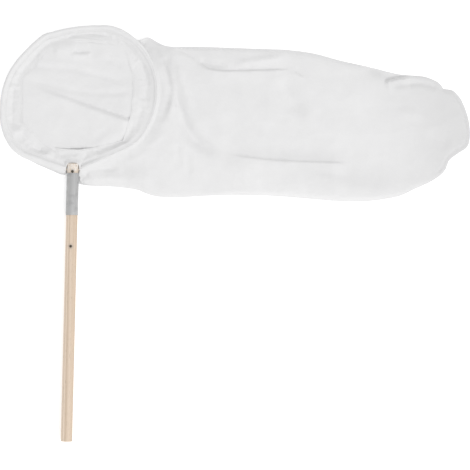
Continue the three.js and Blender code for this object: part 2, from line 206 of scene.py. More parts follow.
# Patches of painted shade on the bag, darkening its cloth where folds and hollows lie in shade: place, reach
# and the most that it is darkened
PAINTED_SHADE_PATCHES = [
    (152, 272, 46, 0.55), (176, 246, 46, 0.48), (276, 247, 36, 0.4), (128, 6, 46, 0.3),
    (520, 4, 90, 0.26), (590, -2, 84, 0.3), (664, -20, 80, 0.36), (640, 229, 36, 0.5),
    (684, 206, 28, 0.6), (372, 48, 34, 0.2), (410, 44, 34, 0.26), (448, 42, 34, 0.26),
    (486, 41, 34, 0.26), (524, 40, 34, 0.24), (562, 39, 34, 0.2),
]

# Folds of the back, which shows through the hoop
BACK_FOLDS = [
    ([(-108, 187), (-31, 162), (44, 137), (122, 112)], 1.4, 16, 6.0, 26, 3.6, 0.35, 0.06),
    ([(20, 145), (75, 127), (122, 112)], -1.4, 12, 0.6, 14, 3.8, 0.7, 0.10),
    ([(-9, 250.5), (10, 249), (34, 252)], 0.4, 8, 4.4, 9, 2.2, 0.2, 0.2),
]
BACK_SOFT_FOLDS = [
    ([(-118, 219), (-33, 220), (10, 217), (79, 201), (118, 187)], -2.0, 6, 0.2, 0.2),
    ([(-118, 228), (-33, 229), (10, 226), (70, 212)], 1.2, 6, 0.2, 0.3),
    ([(-112, 196), (-60, 186), (-20, 177), (40, 170), (124, 174)], -2.0, 6, 0.2, 0.1),
    ([(-70, 178), (-31, 166), (44, 141), (119, 116)], -2.0, 6, 0.5, 0.03),
    ([(-30, 264), (0, 264), (40, 268)], 1.0, 7, 0.3, 0.3),
    ([(60, 244), (80, 236), (98, 222)], -2.6, 6, 0.3, 0.3),
    ([(-70, 130), (-20, 110), (50, 92)], 1.6, 20, 0.4, 0.4),
    ([(34, 66), (56, 82), (80, 102)], -1.4, 7, 0.3, 0.3),
    ([(-44, 286), (0, 296), (46, 295), (84, 280)], -3.4, 7, 0.2, 0.2),
    ([(-16, 285), (20, 285), (66, 279)], 4.2, 6, 0.2, 0.2),
    ([(-48, 253), (-18, 256), (4, 258)], 3.6, 11, 0.2, 0.2),
    ([(-146, 100), (-118, 64), (-86, 42), (-48, 30)], -3.0, 13, 0.2, 0.2),
]

# Soft folds of the rim's hem
HEM_FOLDS = [
    ([(-150, 76), (-138, 79), (-122, 86), (-106, 93)], 4.5, 9, 0.15, 0.3),
    ([(-66, 18), (-58, 28), (-50, 39), (-42, 50)], 6.0, 12, 0.1, 0.2),
    ([(-100, 48), (-84, 46), (-66, 52)], -4.0, 10, 0.2, 0.2),
    ([(-148, 104), (-130, 105), (-110, 104)], -4.0, 9, 0.15, 0.2),
    ([(-150, 190), (-136, 182), (-114, 175)], 3.4, 4, 0.2, 0.3),
    ([(-146, 222), (-132, 214), (-118, 200)], 2.2, 4, 0.2, 0.3),
    ([(-124, 254), (-112, 238), (-98, 226)], 2.4, 4, 0.2, 0.3),
    ([(-96, 276), (-86, 256)], 2.0, 4, 0.3, 0.3),
    ([(-150, 158), (-122, 153)], 2.2, 5, 0.3, 0.3),
    ([(-148, 132), (-120, 126)], 2.0, 6, 0.3, 0.3),
    ([(41, 52), (71, 40)], -1.8, 5, 0.3, 0.3),
    ([(73, 40), (92, 58), (111, 77)], -0.8, 6, 0.3, 0.3),
    ([(-51, 20), (-19, 20)], -1.8, 4, 0.3, 0.3),
    ([(-3, 26), (-5, 36), (-4, 46)], 1.8, 3, 0.2, 0.3),
    ([(5, 25), (9, 35), (8, 44)], 1.4, 3, 0.2, 0.3),
    ([(-11, 25), (-17, 34), (-26, 43)], -2.0, 4, 0.2, 0.3),
    ([(12, 24), (21, 32), (34, 43)], -1.8, 4, 0.2, 0.3),
    ([(17, 22), (32, 27), (46, 36)], 1.6, 4, 0.2, 0.3),
    ([(-50, 272), (-15, 276), (12, 280)], -2.4, 12, 0.3, 0.3),
    ([(-20, 286), (22, 288), (65, 285)], -2.6, 6, 0.2, 0.2),
    ([(-82, 235), (-63, 265)], 1.8, 5, 0.3, 0.3),
    ([(96, 246), (112, 224), (120, 200)], 2.2, 6, 0.3, 0.3),
]

# How far the upper cloth of a crisp fold laps over the lower, as a share of its step, and its reach
LAP_SHARE = 0.2
LAP_REACH = 6

# Uneven heights of each cloth: the most in millimetres, the size across and the layer of the noise
TUNNEL_PUCKERS = [(0.7, 15, 1.7), (0.3, 6, 2.9)]
HEM_SWAY = [(1.5, 34, 4.1)]
HEM_RUMPLES = [(1.4, 19, 2.6), (1.0, 8, 5.2)]
HEM_GATHERS = [(1.5, 15, 6.8), (0.6, 7, 0.9)]
BACK_RUMPLES = [(1.0, 40, 6.2), (0.5, 15, 9.4), (0.3, 7, 1.4)]
BACK_WAVES = [(1.0, 31, 3.3)]
FRONT_RUMPLES = [(1.3, 62, 0.3), (0.6, 23, 5.1), (0.22, 9, 7.7)]
FRONT_DRAWS = [(1.0, 44, 3.9)]
FRONT_GATHERS = [(1.0, 12, 4.4)]
RIM_WAVE_SHIFTS = [(2.2, 70, 2.2)]
RIM_PUCKERS = [(1.0, 11, 8.4)]

# The rim's hem: the least, most and usual reach of its edge, and its rise over the handle's end
HEM_LEAST, HEM_MOST, HEM_USUAL = 12, 75, 45
TENT_PLACE = (0, HANDLE_END + 22)
TENT_RISE, TENT_REACH = 2.6, 22

# The bag's back: its lowest height, how far it starts outside the wire and lies inside the front's edge, how
# coarse its mesh is against the front's, how high it lies in the mouth, how much higher at the mouth's lower
# right, and the side that comes up to the rim, as distances from the rim, outward tucks and heights
BACK_LOWEST = 0.5
BACK_SETBACK, BACK_INSET = 4.7, 1.2
BACK_MESH_SHARE = 1.3
MOUTH_LEVEL, MOUTH_RISE = 5.5, 7.0
MOUTH_RISE_X, MOUTH_RISE_Y = (0, 110), (210, 150)
SIDE_DOWN = [0, 4, 8, 12, 17, 23, 34, 95]
SIDE_TUCK = [0, 3.6, 6.6, 8.0, 8.2, 8.0, 7.0, 0]
SIDE_HEIGHT = [12.2, 9.2, 5.8, 2.8, 0.9, 0.2, 0, 0]
SIDE_TOP = 13.6
BACK_BESIDE_FERRULE = [(16.0, -9), (17.0, 1)]

# The bag's front: its lowest height, where its height falls to a share at the far end, how its edge turns
# over, and how far in from the edge it nears its crown
FRONT_LOWEST = 0.9
END_FALL = (648, 838)
END_SHARE = 0.30
EDGE_RISE = 4.0
EDGE_TURN = 4.2
CROWN_REACH = 85

# The bag's front at the rim: how far it starts outside the wire's line and over the tunnel, how wide its
# crest is and how far it is shaped by the rim, and how high its waves and puckers stand
FRONT_SETBACK = 0.8
CREST_GAP = 0.7
CREST_WIDTH, RIM_REACH = 4.8, 18
RIM_WAVE_RISE, RIM_WAVE_LENGTH = 1.6, 4.6
RIM_PUCKER_RISE = 2.0

# The cloth's darker far end, as distances from the handle in metres
# Painted shade: the bag's far end is painted darker between these distances, as if it fell away from the
# light
PAINTED_SHADE_END = (0.65, 0.87)

# Stitches: their length against their spacing, and how far each row lies from its seam or edge
STITCH_SHARE = 0.74
TUNNEL_ROW, HEM_ROW, BAG_ROW = 1.2, 3, 3.2
OVER_ALL = 60


def place(x, y, z):
    """A point of the plan, in metres in the shared frame."""
    return Vector((AXIS.x + x * MM, AXIS.y + y * MM, z * MM))


def ramp(value, start, end):
    """A soft step, from 0 at the start to 1 at the end."""
    share = np.clip((value - start) / (end - start), 0, 1)
    return share * share * (3 - 2 * share)


def bell(distance, reach):
    """1 at a place, falling softly away within about twice the reach."""
    return np.exp(-(distance / reach) ** 2)


def trail(distance, reach):
    """1 at a place, falling fast at first and then ever more slowly."""
    return np.exp(-np.abs(distance) / reach)


def smooth_line(points, spacing):
    """Points along a smooth curve through the given ones, about one spacing apart."""
    points = np.array(points, float)
    last = len(points) - 1
    line = []
    for i in range(last):
        p = [points[min(max(i + k, 0), last)] for k in (-1, 0, 1, 2)]
        steps = max(1, round(np.linalg.norm(p[2] - p[1]) / spacing))
        for k in range(steps):
            t = k / steps
            bend = (2 * p[0] - 5 * p[1] + 4 * p[2] - p[3]) * t + (3 * p[1] - p[0] - 3 * p[2] + p[3]) * t * t
            line.append(p[1] + 0.5 * t * ((p[2] - p[0]) + bend))
    return np.array([*line, points[-1]])


def spaced_line(points, spacing):
    """Points along straight pieces of line, one even spacing apart."""
    points = np.array(points, float)
    reach = np.concatenate([[0], np.cumsum(np.linalg.norm(np.diff(points, axis=0), axis=1))])
    where = np.linspace(0, reach[-1], max(2, round(reach[-1] / spacing) + 1))
    return np.column_stack([np.interp(where, reach, points[:, k]) for k in range(points.shape[1])])


def left_of(line):
    """The unit direction to the left of a line at each of its points."""
    along = np.gradient(line, axis=0)
    along /= np.linalg.norm(along, axis=1)[:, None]
    return np.column_stack([-along[:, 1], along[:, 0]])


def nearest_on(line, points):
    """How far each point is to the left of a line, its share of the way along it, and its nearest stretch."""
    step = np.diff(line, axis=0)
    length = np.linalg.norm(step, axis=1)
    reach = np.concatenate([[0], np.cumsum(length)])
    best = np.full(len(points), np.inf)
    side = np.ones(len(points))
    share = np.zeros(len(points))
    stretch = np.zeros(len(points), int)
    for i in range(len(step)):
        away = points - line[i]
        t = np.clip(away @ step[i] / length[i] ** 2, 0, 1)
        gap = away - t[:, None] * step[i]
        distance = np.hypot(gap[:, 0], gap[:, 1])
        nearer = distance < best
        best[nearer] = distance[nearer]
        turn = step[i][0] * away[:, 1] - step[i][1] * away[:, 0]
        side[nearer] = np.where(turn[nearer] < 0, -1, 1)
        share[nearer] = (reach[i] + t[nearer] * length[i]) / reach[-1]
        stretch[nearer] = i
    return best * side, share, stretch


def fade(share, start, end):
    """1 along a fold, falling to 0 over the given shares at its two ends."""
    return ramp(share, 0, start) * ramp(share, 1, 1 - end)


def rumple(points, layers):
    """Soft uneven heights at flat points, summed over layers of noise."""
    return sum(
        height * np.array([noise.noise(Vector((x / size, y / size, layer))) for x, y in points])
        for height, size, layer in layers
    )


def arc(centre, radius, start, end, step):
    """Points of an arc, with both its ends."""
    angles = np.linspace(start, end, max(2, math.ceil(abs(end - start) / step) + 1))
    return np.column_stack([centre[0] + radius * np.cos(angles), centre[1] + radius * np.sin(angles)])


def drawn_out(points, along, across):
    """Points about the hoop's middle, scaled along its tilted axis and across it."""
    axis = np.array([math.cos(HOOP_TILT), math.sin(HOOP_TILT)])
    cross = np.array([-axis[1], axis[0]])
    points = np.atleast_2d(points)
    return np.outer(points @ axis * along, axis) + np.outer(points @ cross * across, cross)


def to_hoop(points):
    """Points of the circle, as they lie on the hoop."""
    return drawn_out(points, 1 + HOOP_STRETCH, 1 - HOOP_STRETCH) + HOOP_CENTRE


def to_circle(points):
    """Points or directions about the hoop's middle, as they are on the circle."""
    return drawn_out(points, 1 / (1 + HOOP_STRETCH), 1 / (1 - HOOP_STRETCH))


def wire_arm(side):
    """One end of the wire: its bent tip, its arm in the handle's groove and its bend into the leg."""
    slope = LEG_SLOPES[side]
    length = ARM_LENGTHS[side]
    tip_centre = (ARM_X - TIP_BEND_RADIUS, TIP_BEND_RADIUS - length)
    bend_centre = (ARM_X + LEG_BEND_RADIUS, LEG_BEND_RISE)
    step = math.radians(11)
    line = np.vstack([
        [(tip_centre[0] - TIP_LENGTH, -length)],
        arc(tip_centre, TIP_BEND_RADIUS, -math.pi / 2, 0, step),
        arc(bend_centre, LEG_BEND_RADIUS, math.pi, math.pi / 2 + slope, step),
    ])
    return line * (side, 1)


def shoulder(side, leg_start, leg_direction, step):
    """The rounded shoulder from a leg to the hoop, and the angle on the circle where it ends."""
    start = to_circle(leg_start - HOOP_CENTRE)[0]
    direction = to_circle(leg_direction)[0]
    direction /= np.linalg.norm(direction)
    inward = np.array([-side * direction[1], side * direction[0]])
    offset = start + inward * SHOULDER_RADIUS
    along = offset @ direction
    reach = (HOOP_RADIUS - SHOULDER_RADIUS) ** 2 - offset @ offset + along ** 2
    middle = offset + direction * (math.sqrt(reach) - along)
    first = math.atan2(-inward[1], -inward[0])
    last = math.atan2(middle[1], middle[0])
    return to_hoop(arc(middle, SHOULDER_RADIUS, first, last, step)), last


class Rim:
    """The lines of the hoop: its two arms, the stretch that carries the bag's front and the rest.

    A bridge of cloth over the handle's end closes them to a loop.
    """

    def __init__(self):
        step = math.radians(2)
        self.arms = {side: wire_arm(side) for side in (1, -1)}
        starts, shoulders, angles = {}, {}, {}
        for side, arm in self.arms.items():
            direction = np.array([side * math.cos(LEG_SLOPES[side]), math.sin(LEG_SLOPES[side])])
            starts[side] = arm[-1] + direction * CASING_SETBACKS[side]
            shoulders[side], angles[side] = shoulder(side, arm[-1], direction, step)
        right_arc = to_hoop(arc((0, 0), HOOP_RADIUS, angles[1], TAKEOFF_ANGLE, step))
        left_arc = to_hoop(arc((0, 0), HOOP_RADIUS, TAKEOFF_ANGLE, angles[-1] + 2 * math.pi, step))
        self.front = spaced_line(np.vstack([starts[1], shoulders[1], right_arc[1:]]), 4)
        self.back = spaced_line(np.vstack([left_arc, shoulders[-1][::-1][1:], starts[-1]]), 4)
        for line in (self.front, self.back):
            line -= left_of(line) * np.minimum(round_hoop(line, RIM_SLACK), 0)[:, None]
        end = HANDLE_END
        over_handle = [
            self.back[-1], (-14.6, 12.6), (-13.4, 16.5), (-11.4, end + 0.4), (-6, end + 2), (0, end + 2.2),
            (10, end + 1.8), (13.2, end - 2), (14.0, 13), self.front[0],
        ]
        self.bridge = smooth_line(over_handle, 3)
        self.loop = np.vstack([self.front, self.back[1:], self.bridge[1:-1]])


def round_hoop(line, table):
    """A value that changes round the hoop, at each point of a line."""
    away = line - HOOP_CENTRE
    degrees = np.degrees(np.arctan2(away[:, 1], away[:, 0]))
    degrees = np.where(degrees < -60, degrees + 360, degrees)
    angles, values = np.array(table, float).T
    return np.interp(degrees, angles, values)


def deselect():
    """Leaves nothing selected, so that the next operator acts on its own piece alone."""
    if bpy.context.object and bpy.context.object.mode != "OBJECT":
        bpy.ops.object.mode_set(mode="OBJECT")
    bpy.ops.object.select_all(action="DESELECT")


def activate(piece):
    """Makes one piece the only one selected."""
    deselect()
    piece.select_set(True)
    bpy.context.view_layer.objects.active = piece


def modify(piece, kind, **settings):
    """Adds a modifier to a piece and applies it."""
    activate(piece)
    modifier = piece.modifiers.new(kind.lower(), kind)
    for name, value in settings.items():
        setattr(modifier, name, value)
    bpy.ops.object.modifier_apply(modifier=modifier.name)


def cut_out(piece, cutter):
    """Takes the cutter's shape out of a piece."""
    modify(piece, "BOOLEAN", operation="DIFFERENCE", solver="EXACT", object=cutter)
    bpy.data.objects.remove(cutter)


def add_rod(name, radius, low, high, sides, ends="NGON"):
    """A round rod along y, from one plan height to another, on the handle's axis."""
    deselect()
    middle = place(0, (low + high) / 2, WIRE_HEIGHT)
    bpy.ops.mesh.primitive_cylinder_add(
        vertices=sides, radius=radius * MM, depth=(high - low) * MM, end_fill_type=ends, location=middle,
        rotation=(math.pi / 2, 0, 0),
    )
    bpy.ops.object.transform_apply(location=True, rotation=True, scale=True)
    rod = bpy.context.object
    rod.name = name
    return rod


def add_block(low, high):
    """A box between two corners, for cutting."""
    deselect()
    bpy.ops.mesh.primitive_cube_add(size=1, location=(low + high) / 2)
    bpy.context.object.scale = high - low
    bpy.ops.object.transform_apply(location=True, rotation=True, scale=True)
    return bpy.context.object


def bevel_ends(piece, heights, width, segments):
    """Rounds the edges of a rod that lie at the given plan heights."""
    activate(piece)
    bpy.ops.object.mode_set(mode="EDIT")
    bpy.ops.mesh.select_mode(type="EDGE")
    bpy.ops.mesh.select_all(action="DESELECT")
    shape = bmesh.from_edit_mesh(piece.data)
    for edge in shape.edges:
        ys = [(v.co.y - AXIS.y) / MM for v in edge.verts]
        if any(all(abs(y - height) < 0.01 for y in ys) for height in heights):
            edge.select_set(True)
    bmesh.update_edit_mesh(piece.data)
    bpy.ops.mesh.bevel(offset=width * MM, segments=segments, profile=0.5)
    bpy.ops.object.mode_set(mode="OBJECT")


def smooth_faces(piece, degrees=35):
    """Shades a piece smoothly, with its real corners kept sharp."""
    activate(piece)
    bpy.ops.object.shade_smooth_by_angle(angle=math.radians(degrees))


def new_mesh(name, points, faces, flat=None):
    """A mesh object from points in metres. The flat plan, where given, becomes its UV map."""
    data = bpy.data.meshes.new(name)
    data.from_pydata([tuple(p) for p in points], [], faces)
    if flat is not None:
        layer = data.uv_layers.new(name="UVMap")
        corners = np.empty(len(data.loops), int)
        data.loops.foreach_get("vertex_index", corners)
        layer.data.foreach_set("uv", np.asarray(flat, np.float32)[corners].ravel())
    data.update()
    piece = bpy.data.objects.new(name, data)
    bpy.context.collection.objects.link(piece)
    return piece


def dress(piece, material, slot, *nodes):
    """Gives a piece its material and hides the CAD nodes that it stands for. Its slot is not used."""
    piece.data.materials.clear()
    piece.data.materials.append(material)
    if nodes:
        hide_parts(*nodes)


def shaded(colour, factor):
    """A colour made darker or lighter."""
    return tuple(min(1, c * factor) for c in colour[:3]) + (1,)


class Look:
    """A material. Its methods add its nodes and give their outputs."""

    def __init__(self, name, roughness, metallic=0):
        self.material = bpy.data.materials.new(name)
        self.material.use_nodes = True
        self.tree = self.material.node_tree
        self.shader = self.tree.nodes["Principled BSDF"]
        self.paint({"Roughness": roughness, "Metallic": metallic})

    def feed(self, node, inputs):
        """Sets inputs of a node, by name or number, each to a value or to another node's output."""
        for name, value in dict(inputs).items():
            if isinstance(value, bpy.types.NodeSocket):
                self.tree.links.new(value, node.inputs[name])
            else:
                node.inputs[name].default_value = value

    def paint(self, inputs):
        """Sets inputs of the material's shader."""
        self.feed(self.shader, inputs)

    def add(self, kind, inputs=(), **settings):
        """Adds a node."""
        node = self.tree.nodes.new("ShaderNode" + kind)
        for name, value in settings.items():
            setattr(node, name, value)
        self.feed(node, inputs)
        return node.outputs

    def maths(self, operation, *values):
        """The result of a maths node on values or outputs."""
        return self.add("Math", enumerate(values), operation=operation)[0]

    def weighted(self, *parts):
        """The sum of outputs, each times its weight."""
        total = 0.0
        for value, weight in parts:
            total = self.maths("MULTIPLY_ADD", value, weight, total)
        return total

    def ranged(self, value, low, high, to_low=0.0, to_high=1.0, curve="LINEAR"):
        """A value between two limits, taken to another range."""
        limits = {0: value, 1: low, 2: high, 3: to_low, 4: to_high}
        return self.add("MapRange", limits, interpolation_type=curve)[0]

    def mix(self, share, first, second):
        """A colour between two others."""
        return self.add("Mix", {0: share, 6: first, 7: second}, data_type="RGBA")[2]

    def noise(self, where, scale, detail):
        """Soft noise, with a scale along each axis."""
        drawn = self.add("Mapping", {"Vector": where, "Scale": scale})[0]
        return self.add("TexNoise", {"Vector": drawn, "Scale": 1.0, "Detail": detail})["Fac"]

    def distance(self, where, spot):
        """How far the surface is from a spot."""
        return self.add("VectorMath", {0: where, 1: spot}, operation="DISTANCE")["Value"]

    def bump(self, height, strength, depth):
        """Raises the surface by a height."""
        bumped = self.add("Bump", {"Height": height, "Strength": strength, "Distance": depth})[0]
        self.paint({"Normal": bumped})


def cloth_material(name, colour, pitch, painted_shade_span=None):
    """Plain woven cotton: threads over and under each other, with slubs and soft uneven tone.

    A bag's cloth is painted darker as painted shade between two distances from the handle, where its far end
    falls away from the light, and in PAINTED_SHADE_PATCHES, where its folds and hollows lie in shade.
    """
    look = Look(name, 0.92)
    flat = look.add("TexCoord")["UV"]
    threads = look.add("Mapping", {"Vector": flat, "Scale": (1 / pitch, 1 / pitch, 1)})[0]
    axes = look.add("SeparateXYZ", {0: threads})
    warp, weft = [
        look.maths("ABSOLUTE", look.maths("SINE", look.maths("MULTIPLY", axes[k], math.pi))) for k in (0, 1)
    ]
    squares = {"Vector": threads, "Scale": 1.0, "Color1": (1, 1, 1, 1), "Color2": (0, 0, 0, 1)}
    over = look.add("TexChecker", squares)["Fac"]
    weave = look.weighted((warp, over), (weft, look.maths("SUBTRACT", 1.0, over)))
    slub = look.noise(flat, (60, 900, 1), 3.0)
    tone = look.noise(flat, (26, 26, 26), 4.0)
    cloth = look.mix(look.ranged(tone, 0, 1, 0.25, 0.95), shaded(colour, 0.90), shaded(colour, 1.03))
    if painted_shade_span:
        # Painted shade: darker towards the bag's far end, as if it fell away from the light
        painted_shade_grey = shaded(colour, 0.84)
        along = look.add("SeparateXYZ", {0: flat})[0]
        uneven = look.weighted((along, 1.0), (tone, 0.09))
        cloth = look.mix(look.ranged(uneven, *painted_shade_span, curve="SMOOTHSTEP"), cloth, painted_shade_grey)
        # Painted shade: each patch darkens the cloth where a fold or hollow lies in shade
        for x, y, reach, most in PAINTED_SHADE_PATCHES:
            away = look.distance(flat, (x * MM, y * MM, 0))
            cloth = look.mix(look.ranged(away, reach * MM, 0, 0, most, "SMOOTHSTEP"), cloth, painted_shade_grey)
    threaded = look.ranged(look.weighted((weave, 0.6), (slub, 0.4)), 0, 1, 0.55, 1.0)
    look.paint({
        "Base Color": look.mix(threaded, shaded(colour, 0.86), cloth),
        "Sheen Weight": 0.12, "Sheen Roughness": 0.5, "Specular IOR Level": 0.25,
    })
    look.bump(look.weighted((weave, 1.0), (slub, 0.8)), 0.35, 0.0003)
    return look.material


def thread_material(colour):
    """Twisted sewing thread, a little darker between its strands."""
    look = Look("cotton_thread", 0.85)
    strands = look.noise(look.add("TexCoord")["Object"], (2200, 2200, 2200), 2.0)
    between = shaded(colour, 0.82)
    look.paint({"Base Color": look.mix(strands, between, tuple(colour)), "Specular IOR Level": 0.3})
    look.bump(strands, 0.3, 0.0001)
    return look.material


def wood_material(light, dark):
    """Pale sanded hardwood: rings that run as long lines down the handle, with fibres and short pores.

    Its left side is painted paler as painted light from the left, the end above the ferrule is painted paler
    in patches as painted light, and the pins have stained it.
    """
    look = Look("pale_hardwood", 0.6)
    where = look.add("TexCoord")["Object"]
    pith = Vector((AXIS.x - 0.021, 0, AXIS.z - 0.034))
    drawn = look.add("Mapping", {"Vector": where, "Location": -pith, "Scale": (1, 0.03, 1)})[0]
    rings = look.add("TexWave", {
        "Vector": drawn, "Scale": 70.0, "Distortion": 3.2,
        "Detail": 3.0, "Detail Scale": 0.8, "Detail Roughness": 0.55,
    }, wave_type="RINGS", rings_direction="Y")["Fac"]
    fibre = look.noise(where, (900, 14, 900), 4.0)
    streak = look.noise(where, (150, 1.6, 150), 2.0)
    pores = look.ranged(look.noise(where, (1500, 90, 1500), 1.0), 0.62, 0.74)
    patches = look.noise(where, (260, 260, 260), 3.0)
    across, along, _ = look.add("SeparateXYZ", {0: where})
    # Painted light: the handle's left side is painted paler, as if lit from the left
    painted_left_light = look.ranged(across, AXIS.x + 0.011, AXIS.x - 0.011)
    grain = look.weighted((rings, 0.34), (fibre, 0.30), (streak, 0.20), (painted_left_light, 0.42))
    colour = look.mix(look.ranged(grain, 0.35, 0.95), dark, light)
    # Painted light: the end above the ferrule is painted paler, in mottled patches, as if lit
    painted_pale_end = look.ranged(along, AXIS.y - 0.002, AXIS.y + 0.006, 0.0, 0.75)
    patchy = look.ranged(patches, 0.35, 0.62, 0.25, 1.25)
    colour = look.mix(look.maths("MULTIPLY", painted_pale_end, patchy), colour, (0.84, 0.81, 0.77, 1))
    for node in PINS:
        low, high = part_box(node)
        head = Vector(((low.x + high.x) / 2, (low.y + high.y) / 2, high.z))
        spread = look.weighted((look.distance(where, head), 1.0), (patches, -0.006))
        stain = look.ranged(spread, 0.0005, 0.0045, 0.6, 0.0)
        colour = look.mix(stain, colour, (0.36, 0.33, 0.30, 1))
    look.paint({
        "Base Color": look.mix(look.maths("MULTIPLY", pores, 0.5), colour, shaded(dark, 0.62)),
        "Roughness": look.ranged(fibre, 0, 1, 0.5, 0.75),
    })
    look.bump(look.maths("SUBTRACT", fibre, pores), 0.25, 0.0004)
    return look.material


def metal_material(name, colour, roughness, streaks, wear):
    """Drawn metal: fine streaks along it, with a duller, slightly stained surface."""
    look = Look(name, roughness, 1.0)
    where = look.add("TexCoord")["Object"]
    streak = look.noise(where, streaks, 3.0)
    stains = look.ranged(look.noise(where, (55, 55, 55), 5.0), 0.45, 0.75)
    base = look.mix(streak, shaded(colour, 0.80), shaded(colour, 1.12))
    rough = look.weighted((streak, 0.22), (stains, 0.12))
    look.paint({
        "Base Color": look.mix(look.maths("MULTIPLY", stains, 0.6), base, shaded(colour, 1 - wear)),
        "Roughness": look.maths("ADD", rough, roughness - 0.12),
    })
    look.bump(streak, 0.12, 0.0002)
    return look.material


def floor_material():
    """A pale floor that is a little cloudy and glows faintly, so that it looks white."""
    look = Look("pale_floor", 0.95)
    cloudy = look.noise(look.add("TexCoord")["Object"], (2, 2, 2), 2.0)
    look.paint({
        "Base Color": look.mix(cloudy, (0.90, 0.90, 0.90, 1), (0.92, 0.92, 0.92, 1)),
        "Specular IOR Level": 0, "Emission Color": (1, 1, 1, 1), "Emission Strength": FLOOR_GLOW,
    })
    return look.material


def ring_faces(rows, columns):
    """The four-sided faces of a grid of points whose last row joins its first."""
    faces = []
    for i in range(rows):
        a, b = i * columns, (i + 1) % rows * columns
        faces += [(a + j, b + j, b + j + 1, a + j + 1) for j in range(columns - 1)]
    return faces


def cloth_plan(outline, creases, spacing):
    """Flat points and triangles that fill an outline and follow its creases.

    Each crease is a line and half the width of its step, and gets a line at each edge of the step too.
    """
    outline = np.asarray(outline)
    low, high = outline.min(0), outline.max(0)
    rise = spacing * math.sqrt(3) / 2
    rows = np.arange(low[1], high[1], rise)
    grid = np.array([
        (x + (spacing / 2 if i % 2 else 0), y)
        for i, y in enumerate(rows) for x in np.arange(low[0], high[0], spacing)
    ])
    ring = np.vstack([outline, outline[:1]])
    keep = np.abs(nearest_on(ring, grid)[0]) > spacing * 0.6
    lines = []
    for crease, step in creases:
        lines += [crease + left_of(crease) * shift for shift in (-step, 0, step)]
        keep &= np.abs(nearest_on(crease, grid)[0]) > step + spacing * 0.5
    points = [Vector(p) for p in outline]
    edges = [(i, (i + 1) % len(outline)) for i in range(len(outline))]
    for line in lines:
        first = len(points)
        points += [Vector(p) for p in line]
        edges += [(first + i, first + i + 1) for i in range(len(line) - 1)]
    points += [Vector(p) for p in grid[keep]]
    made, _, faces, _, _, _ = delaunay_2d_cdt(points, edges, [], 1, 1e-4)
    return np.array([tuple(p) for p in made]), [tuple(f) for f in faces]


def fold_heights(points, crisp, soft):
    """Heights of the folds at flat points, and how far the upper cloth of a crisp fold laps over."""
    height = np.zeros(len(points))
    lap = np.zeros((len(points), 2))
    for line, left_height, left_width, right_height, right_width, step, start, end in crisp:
        line = smooth_line(line, 4)
        away, share, stretch = nearest_on(line, points)
        strength = fade(share, start, end)
        lower = ramp(away, -step, step)
        left = left_height * trail(away, left_width)
        right = right_height * bell(away, right_width)
        height += (left * lower + right * (1 - lower)) * strength
        reach = LAP_SHARE * (right_height - left_height) * trail(away, LAP_REACH) * (1 - lower) * strength
        lap += left_of(line)[stretch] * reach[:, None]
    for line, rise, width, start, end in soft:
        away, share, _ = nearest_on(smooth_line(line, 6), points)
        height += rise * bell(away, width) * fade(share, start, end)
    return height, lap


class NetSizes(bpy.types.PropertyGroup):
    """Sizes that a user may change."""

    handle_chamfer: bpy.props.FloatProperty(
        name="Handle chamfer", description="Width of the broken edge at each end of the handle",
        default=0.0010, min=0.0002, max=0.004, unit="LENGTH", precision=4)
    ferrule_wall: bpy.props.FloatProperty(
        name="Ferrule wall", description="Thickness of the ferrule's metal",
        default=0.0006, min=0.0003, max=0.0008, unit="LENGTH", precision=4)
    pin_head: bpy.props.FloatProperty(
        name="Pin head", description="Diameter of each stop pin's head",
        default=0.0055, min=0.003, max=0.008, unit="LENGTH", precision=4)
    wire: bpy.props.FloatProperty(
        name="Wire", description="Diameter of the hoop's wire",
        default=0.004, min=0.002, max=0.0042, unit="LENGTH", precision=4)
    tunnel: bpy.props.FloatProperty(
        name="Tunnel", description="Radius of the cloth tunnel round the wire",
        default=0.0043, min=0.003, max=0.007, unit="LENGTH", precision=4)
    cloth: bpy.props.FloatProperty(
        name="Cloth", description="Thickness of the cloth",
        default=0.0005, min=0.0002, max=0.001, unit="LENGTH", precision=4)
    mesh: bpy.props.FloatProperty(
        name="Cloth mesh", description="Spacing of the points that shape the cloth",
        default=0.0032, min=0.002, max=0.012, unit="LENGTH", precision=4)
    loft: bpy.props.FloatProperty(
        name="Bag loft", description="How high the laid-out bag stands over the table",
        default=0.0185, min=0.004, max=0.024, unit="LENGTH", precision=4)
    weave: bpy.props.FloatProperty(
        name="Weave", description="Distance between the cloth's threads",
        default=0.0009, min=0.0003, max=0.003, unit="LENGTH", precision=4)
    stitch: bpy.props.FloatProperty(
        name="Stitch", description="Distance from one stitch to the next",
        default=0.0032, min=0.001, max=0.008, unit="LENGTH", precision=4)


class NetFinishes(bpy.types.PropertyGroup):
    """Colours that a user may change."""

    wood_light: bpy.props.FloatVectorProperty(
        name="Light wood", description="The handle's pale early wood", subtype="COLOR", size=4,
        default=(0.776, 0.645, 0.526, 1), min=0, max=1)
    wood_dark: bpy.props.FloatVectorProperty(
        name="Dark wood", description="The handle's darker grain lines", subtype="COLOR", size=4,
        default=(0.512, 0.392, 0.281, 1), min=0, max=1)
    ferrule: bpy.props.FloatVectorProperty(
        name="Ferrule", description="The ferrule's aluminium", subtype="COLOR", size=4,
        default=(0.590, 0.591, 0.592, 1), min=0, max=1)
    wire: bpy.props.FloatVectorProperty(
        name="Wire", description="The hoop's steel wire", subtype="COLOR", size=4,
        default=(0.58, 0.50, 0.42, 1), min=0, max=1)
    pin: bpy.props.FloatVectorProperty(
        name="Pins", description="The stop pins' darkened steel", subtype="COLOR", size=4,
        default=(0.10, 0.085, 0.07, 1), min=0, max=1)
    cloth: bpy.props.FloatVectorProperty(
        name="Cloth", description="The bag's white cotton", subtype="COLOR", size=4,
        default=(0.803, 0.801, 0.804, 1), min=0, max=1)
    thread: bpy.props.FloatVectorProperty(
        name="Thread", description="The sewing thread", subtype="COLOR", size=4,
        default=(0.76, 0.76, 0.75, 1), min=0, max=1)


